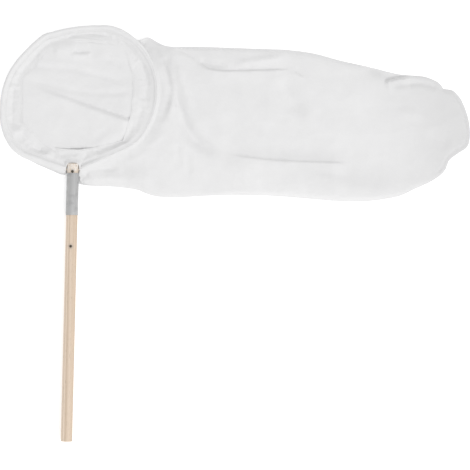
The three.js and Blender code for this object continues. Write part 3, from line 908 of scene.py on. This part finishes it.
class NetStage(bpy.types.PropertyGroup):
    """The studio round the net."""

    height: bpy.props.FloatProperty(
        name="Camera height", description="How high the camera hangs over the table",
        default=5.0, min=1, max=20, unit="LENGTH")
    view_width: bpy.props.FloatProperty(
        name="View width", description="Width of the table that the picture shows",
        default=0.995, min=0.1, max=4, unit="LENGTH")
    sky: bpy.props.FloatProperty(
        name="Sky", description="Strength of the even white light all round", default=0.83, min=0, max=3)
    key: bpy.props.FloatProperty(
        name="Key", description="Power of the broad lamp at the lower right",
        default=355, min=0, max=2000, unit="POWER")


class NET_OT_stage(bpy.types.Operator):
    """Add the pale floor, the soft light and the camera straight above"""
    bl_idname = "insect_net.stage"
    bl_label = "Stage"

    def execute(self, context):
        stage = context.scene.net_stage
        deselect()
        bpy.ops.mesh.primitive_plane_add(size=FLOOR_SIZE, location=(0, 0, -FLOOR_DROP))
        bpy.ops.object.transform_apply(location=True)
        floor = context.object
        floor.name = "floor"
        floor.data.materials.append(floor_material())

        world = bpy.data.worlds.new("soft_white")
        world.use_nodes = True
        sky = world.node_tree.nodes["Background"]
        sky.inputs["Color"].default_value = (1, 1, 1, 1)
        sky.inputs["Strength"].default_value = stage.sky
        context.scene.world = world
        bpy.ops.object.light_add(type="AREA", location=place(*LAMP_AIM) + LAMP_OFFSET)
        lamp = context.object
        lamp.name = "key_lamp"
        lamp.data.size = LAMP_SIZE
        lamp.data.energy = stage.key
        lamp.rotation_euler = (-LAMP_OFFSET).to_track_quat("-Z", "Y").to_euler()

        above = place(*VIEW_MIDDLE) + Vector((0, 0, stage.height))
        bpy.ops.object.camera_add(location=above, rotation=(0, 0, VIEW_TURN))
        camera = context.object
        camera.name = "camera"
        camera.data.sensor_width = FILM_WIDTH
        camera.data.lens = FILM_WIDTH * stage.height / stage.view_width
        context.scene.camera = camera
        context.scene.view_settings.view_transform = "Standard"
        return {"FINISHED"}


class NET_OT_handle(bpy.types.Operator):
    """Turn the wooden handle and cut its two grooves and its tip pockets"""
    bl_idname = "insect_net.handle"
    bl_label = "Handle"

    def execute(self, context):
        sizes, finishes = context.scene.net_sizes, context.scene.net_finishes
        radius = (HANDLE_HIGH.x - HANDLE_LOW.x) / 2 / MM
        butt = (HANDLE_LOW.y - AXIS.y) / MM
        handle = add_rod("handle_dowel", radius, butt, HANDLE_END, 96)
        bevel_ends(handle, (butt, HANDLE_END), sizes.handle_chamfer / MM, 4)
        half = sizes.wire / MM / 2 + GROOVE_CLEARANCE
        pocket = ARM_X - TIP_BEND_RADIUS - TIP_LENGTH - GROOVE_CLEARANCE
        for side, length in ARM_LENGTHS.items():
            for floor, top in ((ARM_X - half, HANDLE_END + 1), (pocket, TIP_BEND_RADIUS - length)):
                xs = sorted((side * floor, side * (radius + 1)))
                low = place(xs[0], -length - half, WIRE_HEIGHT - half)
                cut_out(handle, add_block(low, place(xs[1], top, WIRE_HEIGHT + half)))
        smooth_faces(handle)
        dress(handle, wood_material(finishes.wood_light, finishes.wood_dark), "handle_wood", "handle")
        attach(handle, "net_frame")
        return {"FINISHED"}


class NET_OT_ferrule(bpy.types.Operator):
    """Roll the thin metal ferrule with its softened rims"""
    bl_idname = "insect_net.ferrule"
    bl_label = "Ferrule"

    def execute(self, context):
        sizes, finishes = context.scene.net_sizes, context.scene.net_finishes
        radius = (FERRULE_HIGH.x - FERRULE_LOW.x) / 2 / MM
        low, high = (FERRULE_LOW.y - AXIS.y) / MM, 0.0
        ferrule = add_rod("ferrule_tube", radius, low, high, 128, ends="NOTHING")
        modify(ferrule, "SOLIDIFY", thickness=sizes.ferrule_wall, offset=-1)
        bevel_ends(ferrule, (low, high), FERRULE_RIM_ROUNDING, 3)
        smooth_faces(ferrule)
        metal = metal_material("satin_aluminium", finishes.ferrule, 0.76, (900, 9, 900), 0.25)
        dress(ferrule, metal, "ferrule_metal", "ferrule")
        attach(ferrule, "ferrule")
        return {"FINISHED"}


class NET_OT_stop_pins(bpy.types.Operator):
    """Drive in the two domed stop pins"""
    bl_idname = "insect_net.stop_pins"
    bl_label = "Stop Pins"

    def execute(self, context):
        sizes, finishes = context.scene.net_sizes, context.scene.net_finishes
        metal = metal_material("dark_steel", finishes.pin, 0.45, (700, 700, 700), 0.3)
        head = sizes.pin_head / 2
        seat = HANDLE_HIGH.z + PIN_STANDOFF * MM
        for node in PINS:
            low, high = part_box(node)
            deselect()
            bpy.ops.mesh.primitive_uv_sphere_add(segments=32, ring_count=16, radius=head, location=(0, 0, 0))
            pin = context.object
            pin.name = node + "_nail"
            bpy.ops.object.mode_set(mode="EDIT")
            bpy.ops.mesh.select_all(action="SELECT")
            bpy.ops.mesh.bisect(plane_co=(0, 0, 0), plane_no=(0, 0, 1), clear_inner=True, use_fill=True)
            bpy.ops.mesh.select_mode(type="FACE")
            bpy.ops.mesh.select_all(action="DESELECT")
            shape = bmesh.from_edit_mesh(pin.data)
            for face in shape.faces:
                face.select_set(face.normal.z < -0.9)
            bmesh.update_edit_mesh(pin.data)
            bpy.ops.mesh.inset(thickness=head - PIN_SHANK_RADIUS * MM)
            bpy.ops.mesh.extrude_region_move(TRANSFORM_OT_translate={"value": (0, 0, low.z - seat)})
            bpy.ops.object.mode_set(mode="OBJECT")
            for point in pin.data.vertices:
                if point.co.z > 0:
                    point.co.z *= (high.z - seat) / head
            pin.location = ((low.x + high.x) / 2, (low.y + high.y) / 2, seat)
            bpy.ops.object.transform_apply(location=True, rotation=True, scale=True)
            smooth_faces(pin)
            dress(pin, metal, "pin_steel", node)
            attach(pin, "net_frame")
        return {"FINISHED"}


class NET_OT_hoop_wire(bpy.types.Operator):
    """Bend the spring wire into its hoop, legs, arms and tips"""
    bl_idname = "insect_net.hoop_wire"
    bl_label = "Hoop Wire"

    def execute(self, context):
        sizes, finishes = context.scene.net_sizes, context.scene.net_finishes
        rim = Rim()
        line = np.vstack([rim.arms[1], rim.front[1:], rim.back[1:-1], rim.arms[-1][::-1]])
        curve = bpy.data.curves.new("hoop_wire", "CURVE")
        curve.dimensions = "3D"
        curve.bevel_depth = sizes.wire / 2
        curve.bevel_resolution = 4
        curve.use_fill_caps = True
        spline = curve.splines.new("POLY")
        spline.points.add(len(line) - 1)
        for point, (x, y) in zip(spline.points, line):
            point.co = (*place(x, y, WIRE_HEIGHT), 1)
        wire = bpy.data.objects.new("hoop_spring_wire", curve)
        context.collection.objects.link(wire)
        activate(wire)
        bpy.ops.object.convert(target="MESH")
        smooth_faces(wire, 60)
        metal = metal_material("drawn_steel", finishes.wire, 0.42, (500, 500, 500), 0.35)
        dress(wire, metal, "hoop_steel", "hoop_wire")
        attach(wire, "net_frame")
        return {"FINISHED"}


def hem_reach(line, inward):
    """How far the rim's hem reaches in from the wire at each point of the rim."""
    corners = np.array([
        HOOP_CENTRE + distance * np.array([math.cos(math.radians(angle)), math.sin(math.radians(angle))])
        for angle, distance in HEM_EDGE
    ])
    ring = np.vstack([corners, corners[:1]])
    reach = np.zeros(len(line))
    tries = np.arange(HEM_LEAST, HEM_MOST, 0.5)
    for i, (point, across) in enumerate(zip(line, inward)):
        away = nearest_on(ring, point + np.outer(tries, across))[0]
        inside = np.nonzero(away > 0)[0]
        reach[i] = tries[inside[0]] if len(inside) else HEM_USUAL
    return reach


def mouth_floor(points, loop):
    """Heights of the bag's back where it lies under the hoop, and how far its crisp folds lap over."""
    inside = nearest_on(np.vstack([loop, loop[:1]]), points)[0]
    folds, lap = fold_heights(points, BACK_FOLDS, BACK_SOFT_FOLDS)
    raised = MOUTH_RISE * ramp(points[:, 0], *MOUTH_RISE_X) * ramp(points[:, 1], *MOUTH_RISE_Y)
    level = 0.25 * ramp(inside, -26, 0) + 0.75 * ramp(inside, 4, 38)
    height = MOUTH_LEVEL + raised + folds + rumple(points, BACK_RUMPLES)
    return BACK_LOWEST + np.maximum(height * level, 0), lap


def spanned(heights):
    """The heights of a cloth that spans the hollows of what it lies on, along the rim."""
    top = heights.copy()
    for shift in range(1, 7):
        beside = np.maximum(np.roll(heights, shift, axis=0), np.roll(heights, -shift, axis=0))
        top = np.maximum(top, beside - 0.06 * shift ** 2)
    return top


class RimCloth:
    """The shape of the rim's cloth at even steps round the hoop: a tunnel, and a doubled hem inside it.

    Where it leaves the wire to cross the handle's end, the tunnel is flattened and lifted.
    """

    STEP = 2.2
    EVENINGS = 18
    SEAM = 7.2
    OPENING = math.radians(28)
    TUNNEL_ROWS = 17
    FLATTENED, LIFTED = 0.68, 4.5
    HEM_ROWS = 18
    HEM_OVER_BACK = (0.9, 0.5)
    HEM_LAYER_GAP = (1.1, 0.4)

    def __init__(self, tunnel):
        rim = Rim()
        self.line = spaced_line(np.vstack([rim.loop, rim.loop[:1]]), self.STEP)[:-1]
        along = np.roll(self.line, -2, axis=0) - np.roll(self.line, 2, axis=0)
        along /= np.linalg.norm(along, axis=1)[:, None]
        inward = np.column_stack([-along[:, 1], along[:, 0]])
        for _ in range(self.EVENINGS):
            inward = (np.roll(inward, 1, axis=0) + inward + np.roll(inward, -1, axis=0)) / 3
        self.inward = inward / np.linalg.norm(inward, axis=1)[:, None]
        steps = np.linalg.norm(np.roll(self.line, -1, axis=0) - self.line, axis=1)
        self.walked = np.concatenate([[0], np.cumsum(steps)[:-1]])
        straight = np.column_stack([self.walked, self.walked * 0])
        pucker = rumple(straight, TUNNEL_PUCKERS)
        off_wire = np.abs(nearest_on(np.vstack([rim.front, rim.back[1:]]), self.line)[0])
        self.radius = tunnel * (1 - self.FLATTENED * ramp(off_wire, 0, 7)) * (1 + 0.12 * pucker)
        self.slack = np.maximum(round_hoop(self.line, RIM_SLACK), 0) * (1 - ramp(off_wire, 0, 6))
        self.lift = self.LIFTED * ramp(off_wire, 1, 12)
        self.rise = round_hoop(self.line, SEAM_RISE)
        self.hem = self.shape_hem(rim, rumple(straight, HEM_SWAY))

    def shape_hem(self, rim, sway):
        """The hem's upper side, from the tunnel's seam to its inner edge, which lies on the bag's back."""
        width = hem_reach(self.line, self.inward) + sway - self.SEAM
        share = np.linspace(0, 1, self.HEM_ROWS) ** 1.4
        across = np.outer(width, share)
        plan = self.line[:, None] + self.inward[:, None] * (self.SEAM + across)[:, :, None]
        spots = plan.reshape(-1, 2)
        floor = spanned(mouth_floor(spots, rim.loop)[0].reshape(across.shape))
        floor += np.linspace(*self.HEM_OVER_BACK, self.HEM_ROWS)
        lying = floor + np.outer(round_hoop(self.line, HEM_GAP), share ** 2)
        seam = WIRE_HEIGHT + self.rise
        fall = np.minimum(round_hoop(self.line, HEM_FALL), width * 0.9)
        fallen = ramp(across, 0, fall[:, None])
        height = seam[:, None] * (1 - fallen) + lying * fallen
        from_tent = np.hypot(*((spots - TENT_PLACE) * (0.7, 1)).T).reshape(across.shape)
        height += TENT_RISE * bell(from_tent, TENT_REACH)
        creased = rumple(spots, HEM_RUMPLES) + fold_heights(spots, [], HEM_FOLDS)[0]
        height += creased.reshape(across.shape) * ramp(share, 0, 1 / 3) * (1 - 0.6 * share ** 3)
        drawn_in = np.column_stack([np.repeat(self.walked, self.HEM_ROWS), 0.2 * across.ravel()])
        gathers = rumple(drawn_in, HEM_GATHERS).reshape(across.shape)
        height += gathers * np.sin(np.pi * np.minimum(1, share * 1.2))
        return np.dstack([plan, np.maximum(height, floor)])

    def section(self, i):
        """The cloth across the rim at one step: upper hem, round the wire, and lower hem."""
        points = [tuple(p) for p in self.hem[i, ::-1]]
        middle = WIRE_HEIGHT + self.lift[i]
        start = self.OPENING + math.radians(9 * max(0, self.rise[i]))
        for angle in np.linspace(start, math.tau - self.OPENING, self.TUNNEL_ROWS):
            outer = max(0, -math.cos(angle)) ** 1.5
            across = self.radius[i] * math.cos(angle) - self.slack[i] * outer
            flat = 1 - 0.5 * outer * min(1, self.slack[i] / 8)
            x, y = self.line[i] + self.inward[i] * across
            z = middle + self.radius[i] * flat * math.sin(angle) - 0.4 * self.slack[i] * outer
            points.append((x, y, z))
        under = self.hem[i, :-2:2]
        drops = np.linspace(*self.HEM_LAYER_GAP, len(under))
        return points + [(x, y, z - drop) for (x, y, z), drop in zip(under, drops)]


class NET_OT_rim_casing(bpy.types.Operator):
    """Sew the cloth tunnel round the wire, with its doubled hem towards the mouth"""
    bl_idname = "insect_net.rim_casing"
    bl_label = "Rim Casing"

    def execute(self, context):
        sizes, finishes = context.scene.net_sizes, context.scene.net_finishes
        cloth = RimCloth(sizes.tunnel / MM)
        points, flat, widths = [], [], []
        for i, walked in enumerate(cloth.walked):
            section = cloth.section(i)
            steps = [math.dist(p, q) for p, q in zip(section, section[1:])]
            across = np.concatenate([[0], np.cumsum(steps)])
            points += [place(*p) for p in section]
            flat += [(walked * MM, width * MM) for width in across]
            widths.append(across[-1])
        casing = new_mesh("rim_casing_cloth", points, ring_faces(len(widths), len(section)), flat)
        modify(casing, "SOLIDIFY", thickness=sizes.cloth, offset=0)
        smooth_faces(casing, 80)
        dress(casing, cloth_material("rim_cotton", finishes.cloth, sizes.weave), "rim_cloth", "rim_casing")
        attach(casing, "net_frame")
        return {"FINISHED"}


def pillow(points, edge, crown):
    """Heights of the plain front: it turns over at its edge, rises to its crown and sinks to its far end."""
    sunk = 1 - (1 - END_SHARE) * (1 - ramp(points[:, 0], END_FALL[1], END_FALL[0]))
    rounded = EDGE_RISE * (1 + ramp(points[:, 1], 40, 160)) * sunk
    turn = EDGE_TURN + sum(
        more * bell(np.hypot(*(points - spot).T), reach) for spot, more, reach in GENTLE_EDGES
    )
    inner = (crown * sunk - rounded) * (1 - np.exp(-(edge / CROWN_REACH) ** 1.4))
    return FRONT_LOWEST + rounded * (1 - trail(edge, turn)) + inner


def bag_front(sizes, rim):
    """Flat points, faces and heights of the bag's front, which starts on top of the rim."""
    rim_edge = rim.front - left_of(rim.front) * FRONT_SETBACK
    outline = smooth_line(BAG_OUTLINE, 4)
    side = smooth_line([outline[-1], *BESIDE_FERRULE, rim_edge[0]], 4)
    ring = np.vstack([rim_edge, outline, side[1:-1]])
    creases = [(smooth_line(fold[0], 4), fold[5]) for fold in FRONT_FOLDS]
    points, faces = cloth_plan(ring, creases, sizes.mesh / MM)
    edge = np.abs(nearest_on(outline, points)[0])
    from_rim, rim_share, _ = nearest_on(rim_edge, points)
    from_rim = np.abs(from_rim)

    folds, lap = fold_heights(points, FRONT_FOLDS, FRONT_SOFT_FOLDS)
    off_edge = ramp(edge, 0, 9)
    z = pillow(points, edge, sizes.loft / MM) + folds * np.where(folds > 0, off_edge, ramp(edge, 0, 4))
    waves = np.sin(from_rim / RIM_WAVE_LENGTH + rumple(points, RIM_WAVE_SHIFTS)) * trail(from_rim, 24)
    z += RIM_WAVE_RISE * waves * fade(rim_share, 0.30, 0.10) * ramp(from_rim, 4, 12)
    puckers = rumple(np.column_stack([rim_share * 420, from_rim * 0.35]), RIM_PUCKERS)
    z += RIM_PUCKER_RISE * puckers * trail(from_rim, 26) * ramp(from_rim, 1, 6)
    drawn = 0.9 - 1.8 * np.abs(rumple(points * (0.55, 1), FRONT_DRAWS))
    gathered = rumple(points, FRONT_GATHERS) * trail(from_rim, 55)
    z += off_edge * (rumple(points, FRONT_RUMPLES) + 0.7 * drawn + gathered)

    valley = round_hoop(points, RIM_VALLEY)
    crest = WIRE_HEIGHT + sizes.tunnel / MM + CREST_GAP
    on_rim = valley + (crest - valley) * bell(from_rim, CREST_WIDTH) + 0.7 * puckers * ramp(from_rim, 0, 6)
    near_rim = bell(from_rim, RIM_REACH)
    z = np.maximum(z, FRONT_LOWEST) * (1 - near_rim) + on_rim * near_rim
    return np.column_stack([points + lap, z]), faces, points


def bag_back(sizes, rim):
    """Flat points, faces and heights of the bag's back, which comes up to the rim on the hoop's far side."""
    rim_line = np.vstack([rim.back, rim.bridge[1:]])
    slack = np.maximum(round_hoop(rim_line, RIM_SLACK), 0)
    rim_edge = rim_line - left_of(rim_line) * (BACK_SETBACK + 0.8 * slack)[:, None]
    outline = smooth_line(BAG_OUTLINE, 6)
    outline = outline - BACK_INSET * left_of(outline)
    side = smooth_line([outline[-1], *BACK_BESIDE_FERRULE, rim_edge[-1]], 4)
    ring = np.vstack([rim_edge, side[::-1][1:-1], outline[::-1]])
    # The second fold lies along the first, and its step needs no lines of its own
    creases = [(smooth_line(fold[0], 5), fold[5]) for fold in BACK_FOLDS[::2]]
    points, faces = cloth_plan(ring, creases, sizes.mesh / MM * BACK_MESH_SHARE)
    from_rim, rim_share, stretch = nearest_on(rim_edge, points)
    from_rim = np.abs(from_rim)

    wavy = 1 - 0.14 * np.abs(rumple(np.column_stack([rim_share * 1000, from_rim * 0]), BACK_WAVES))
    tuck = np.interp(from_rim, SIDE_DOWN, SIDE_TUCK) * wavy
    pushed = -left_of(rim_edge)[stretch] * tuck[:, None]
    floor, lap = mouth_floor(points, rim.loop)
    wall = np.interp(from_rim, SIDE_DOWN, SIDE_HEIGHT) * WIRE_HEIGHT / SIDE_TOP
    z = BACK_LOWEST + (floor - BACK_LOWEST) * ramp(from_rim, 14, 38) + wall
    return np.column_stack([points + pushed + lap, z]), faces, points


class NET_OT_bag(bpy.types.Operator):
    """Lay out the front and the back of the cloth bag with their folds"""
    bl_idname = "insect_net.bag"
    bl_label = "Bag"

    def execute(self, context):
        sizes, finishes = context.scene.net_sizes, context.scene.net_finishes
        rim = Rim()
        cloth = cloth_material("bag_cotton", finishes.cloth, sizes.weave, painted_shade_span=PAINTED_SHADE_END)
        nodes = {"front": ("bag_mouth_front", "bag_tail_front"), "back": ("bag_mouth_back", "bag_tail_back")}
        for name, make in (("front", bag_front), ("back", bag_back)):
            shape, faces, flat = make(sizes, rim)
            piece = new_mesh(f"bag_{name}_cloth", [place(*p) for p in shape], faces, flat * MM)
            modify(piece, "SOLIDIFY", thickness=sizes.cloth, offset=0)
            smooth_faces(piece, 80)
            dress(piece, cloth, "bag_cloth", *nodes[name])
            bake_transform(piece)
        return {"FINISHED"}


def stitch_shape(length):
    """The points and faces of one plump stitch, which lies along x."""
    deselect()
    bpy.ops.mesh.primitive_ico_sphere_add(subdivisions=1, radius=length / 2)
    bpy.ops.transform.resize(value=(1, 0.26, 0.16))
    bpy.ops.object.transform_apply(location=True, rotation=True, scale=True)
    shape = bpy.context.object
    points = [point.co.copy() for point in shape.data.vertices]
    faces = [tuple(face.vertices) for face in shape.data.polygons]
    bpy.data.objects.remove(shape)
    return points, faces


def sew(name, line, cloth, pitch):
    """A row of stitches along a line of the plan, each laid on the cloth below it."""
    shape, shape_faces = stitch_shape(pitch * STITCH_SHARE)
    spots = spaced_line(line, pitch / MM)
    points, faces = [], []
    for spot, along in zip(spots, np.gradient(spots, axis=0)):
        hit, middle, up, _ = cloth.ray_cast(place(*spot, OVER_ALL), Vector((0, 0, -1)))
        if not hit:
            raise RuntimeError(f"{name} leaves the cloth at {spot}")
        forward = Vector((*along, 0))
        forward = (forward - up * forward.dot(up)).normalized()
        turn = Matrix((forward, up.cross(forward), up)).transposed()
        faces += [tuple(len(points) + k for k in face) for face in shape_faces]
        points += [middle + turn @ point for point in shape]
    piece = new_mesh(name, points, faces)
    smooth_faces(piece, 60)
    return piece


class NET_OT_stitching(bpy.types.Operator):
    """Sew the rim to the bag, the hem's two edges and the seam at the bag's far end"""
    bl_idname = "insect_net.stitching"
    bl_label = "Stitching"

    def execute(self, context):
        sizes, finishes = context.scene.net_sizes, context.scene.net_finishes
        thread = thread_material(finishes.thread)
        cloth = RimCloth(sizes.tunnel / MM)
        tunnel_seam = cloth.line + cloth.inward * (cloth.SEAM + TUNNEL_ROW)
        hem_edge = cloth.hem[:, -1, :2] - cloth.inward * HEM_ROW
        rim = Rim()
        bag_seam = (rim.front - left_of(rim.front) * BAG_ROW)[2:-2]
        rows = (
            ("tunnel_seam_stitches", tunnel_seam, "rim_casing_cloth", "net_frame", "rim_cloth"),
            ("hem_edge_stitches", hem_edge, "rim_casing_cloth", "net_frame", "rim_cloth"),
            ("bag_seam_stitches", bag_seam, "bag_front_cloth", "net_frame", "bag_cloth"),
            ("end_seam_stitches", smooth_line(END_SEAM, 4), "bag_front_cloth", "bag_tail", "bag_cloth"),
        )
        context.view_layer.update()
        for name, line, cloth_name, body, slot in rows:
            row = sew(name, line, bpy.data.objects[cloth_name], sizes.stitch)
            dress(row, thread, slot)
            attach(row, body)
        return {"FINISHED"}


class NET_PT_net(bpy.types.Panel):
    """Lists the net's pieces, sizes and finishes"""
    bl_idname = "NET_PT_net"
    bl_label = "Insect Net"
    bl_space_type = "VIEW_3D"
    bl_region_type = "UI"
    bl_category = "Insect Net"

    def draw(self, context):
        for operator in OPERATORS:
            self.layout.operator(operator.bl_idname)
        for group in (context.scene.net_sizes, context.scene.net_finishes, context.scene.net_stage):
            box = self.layout.box()
            for name in group.__annotations__:
                box.prop(group, name)


OPERATORS = (
    NET_OT_stage, NET_OT_handle, NET_OT_ferrule, NET_OT_stop_pins, NET_OT_hoop_wire, NET_OT_rim_casing,
    NET_OT_bag, NET_OT_stitching,
)
GROUPS = {"net_sizes": NetSizes, "net_finishes": NetFinishes, "net_stage": NetStage}


def register():
    for group in (*GROUPS.values(), *OPERATORS, NET_PT_net):
        bpy.utils.register_class(group)
    for name, group in GROUPS.items():
        setattr(bpy.types.Scene, name, bpy.props.PointerProperty(type=group))


def unregister():
    for name in GROUPS:
        delattr(bpy.types.Scene, name)
    for group in reversed((*GROUPS.values(), *OPERATORS, NET_PT_net)):
        bpy.utils.unregister_class(group)


def main():
    register()
    bpy.ops.insect_net.stage()
    bpy.ops.insect_net.handle()
    bpy.ops.insect_net.ferrule()
    bpy.ops.insect_net.stop_pins()
    bpy.ops.insect_net.hoop_wire()
    bpy.ops.insect_net.rim_casing()
    bpy.ops.insect_net.bag()
    bpy.ops.insect_net.stitching()
    deselect()


if __name__ == "__main__":
    main()
